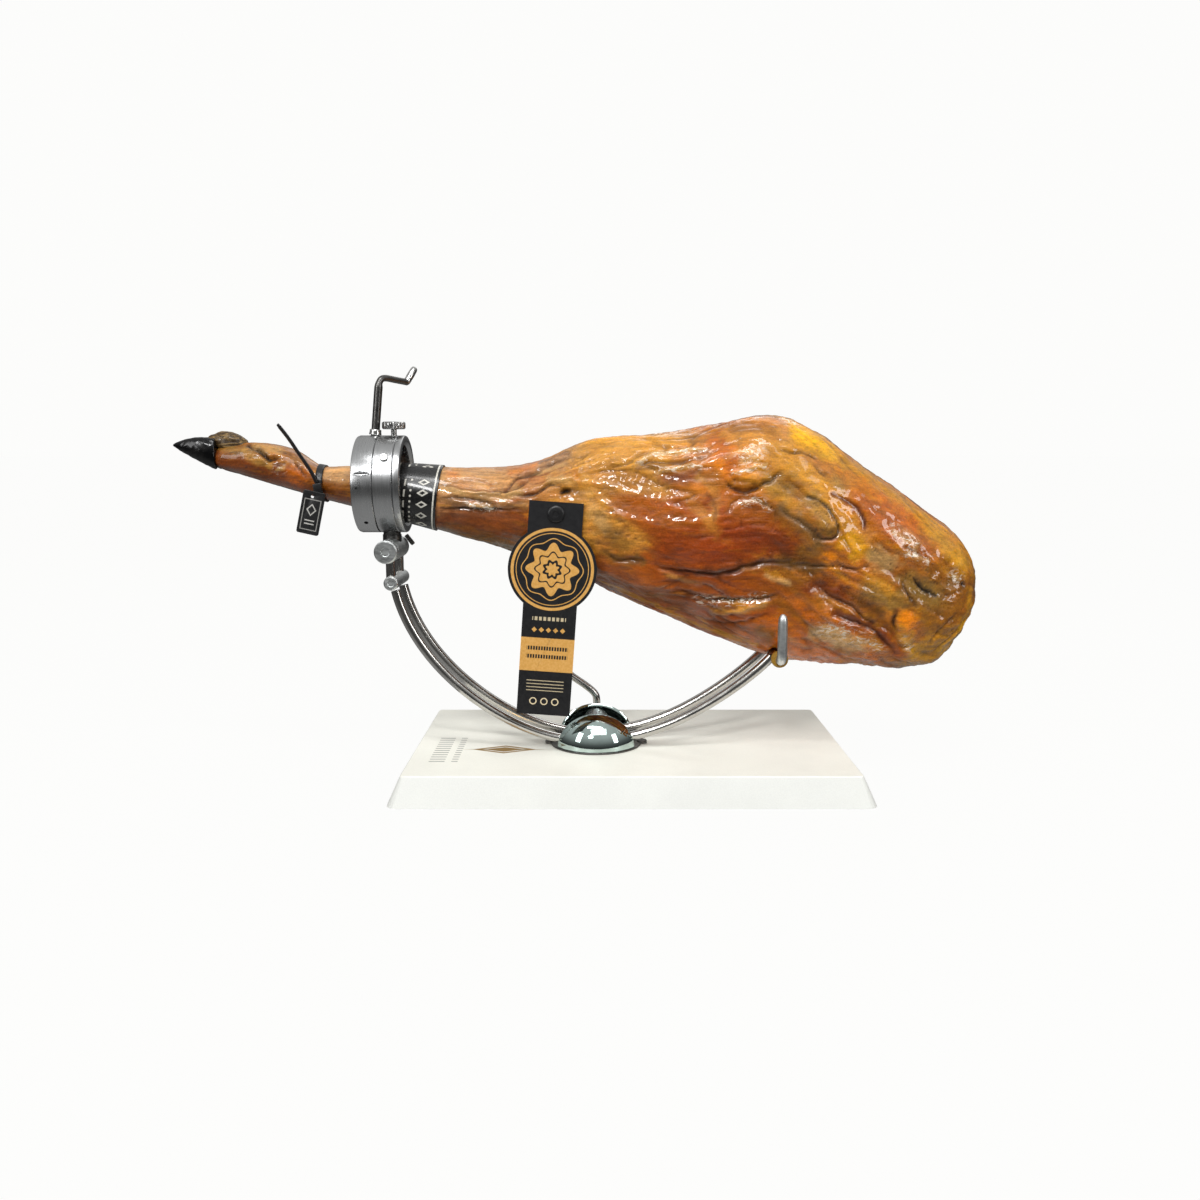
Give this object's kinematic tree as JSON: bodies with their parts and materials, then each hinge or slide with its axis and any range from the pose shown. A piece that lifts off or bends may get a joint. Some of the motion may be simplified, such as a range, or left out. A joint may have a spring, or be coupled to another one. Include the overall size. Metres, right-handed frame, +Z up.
{
  "type": "cured ham",
  "caption": "Whole cured ham with hoof, labels and hang tag, clamped by the shank in a tilting carving stand with curved rod arms on a white plate.",
  "frame": {"origin": "middle of the flat underside of the base plate", "axes": "+X from the hoof to the butt of the ham, +Y away from the carver, +Z up"},
  "size_m": [0.8318, 0.294, 0.4273],
  "materials": {
    "ham": "glossy cured flesh and fat",
    "horn": "gloss",
    "dry_horn": "matte",
    "plate": "satin",
    "mirror_steel": "polished",
    "steel": "polished",
    "brushed": "satin",
    "dark_steel": "satin",
    "amber": "satin",
    "black_card": "satin",
    "black_plastic": "satin"
  },
  "bodies": {
    "base": {"base_plate": "plate", "hub_flange": "dark_steel", "hub_shell_front": "mirror_steel", "hub_shell_back": "mirror_steel", "hub_axle": "steel"},
    "lever": {"lever": "steel", "lever_knob": "black_plastic"},
    "crank": {"crank_shaft": "dark_steel", "crank_grip": "steel"},
    "thumbscrew": {"thumbscrew": "steel"},
    "arms": {"arm_left_front": "steel", "post_front": "steel", "arm_right_front": "steel", "arm_left_back": "steel", "post_back": "steel", "arm_right_back": "steel", "hub_drum": "brushed", "cross_tube": "steel", "head_clamp": "steel", "clamp_bolt": "dark_steel", "neck": "dark_steel", "bearing_ring": "brushed", "rotor_ring": "brushed", "rotor_lip": "brushed", "ring_screw": "steel", "crank_ferrule": "mirror_steel", "screw_pad": "steel", "cradle_bar": "steel", "prong_front": "steel", "collar_front": "amber", "prong_back": "steel", "collar_back": "amber", "ham": "ham", "hoof_front": "horn", "hoof_back": "horn", "dewclaw": "dry_horn", "label_band": "black_card", "tie_band": "black_plastic", "tie_head": "black_plastic", "tie_tail": "black_plastic", "seal_tag": "black_plastic", "hang_tag": "black_card", "tag_peg": "black_plastic"}
  },
  "joints": [
    {"name": "tilt", "type": "hinge", "parent": "base", "child": "arms", "pos_m": [-0.035, -0.014, 0.047], "axis": [0, 1, 0], "range_deg": [-3, 4]},
    {"name": "locking_lever", "type": "hinge", "parent": "base", "child": "lever", "pos_m": [-0.035, 0.0386, 0.047], "axis": [0, 1, 0], "range_deg": [-30, 80]},
    {"name": "crank_turn", "type": "hinge", "parent": "arms", "child": "crank", "pos_m": [-0.2629, -0.014, 0.354], "axis": [0.0958, 0, 0.9954], "continuous": true},
    {"name": "thumbscrew_turn", "type": "hinge", "parent": "arms", "child": "thumbscrew", "pos_m": [-0.2435, -0.014, 0.365], "axis": [0, 0, 1], "continuous": true}
  ]
}
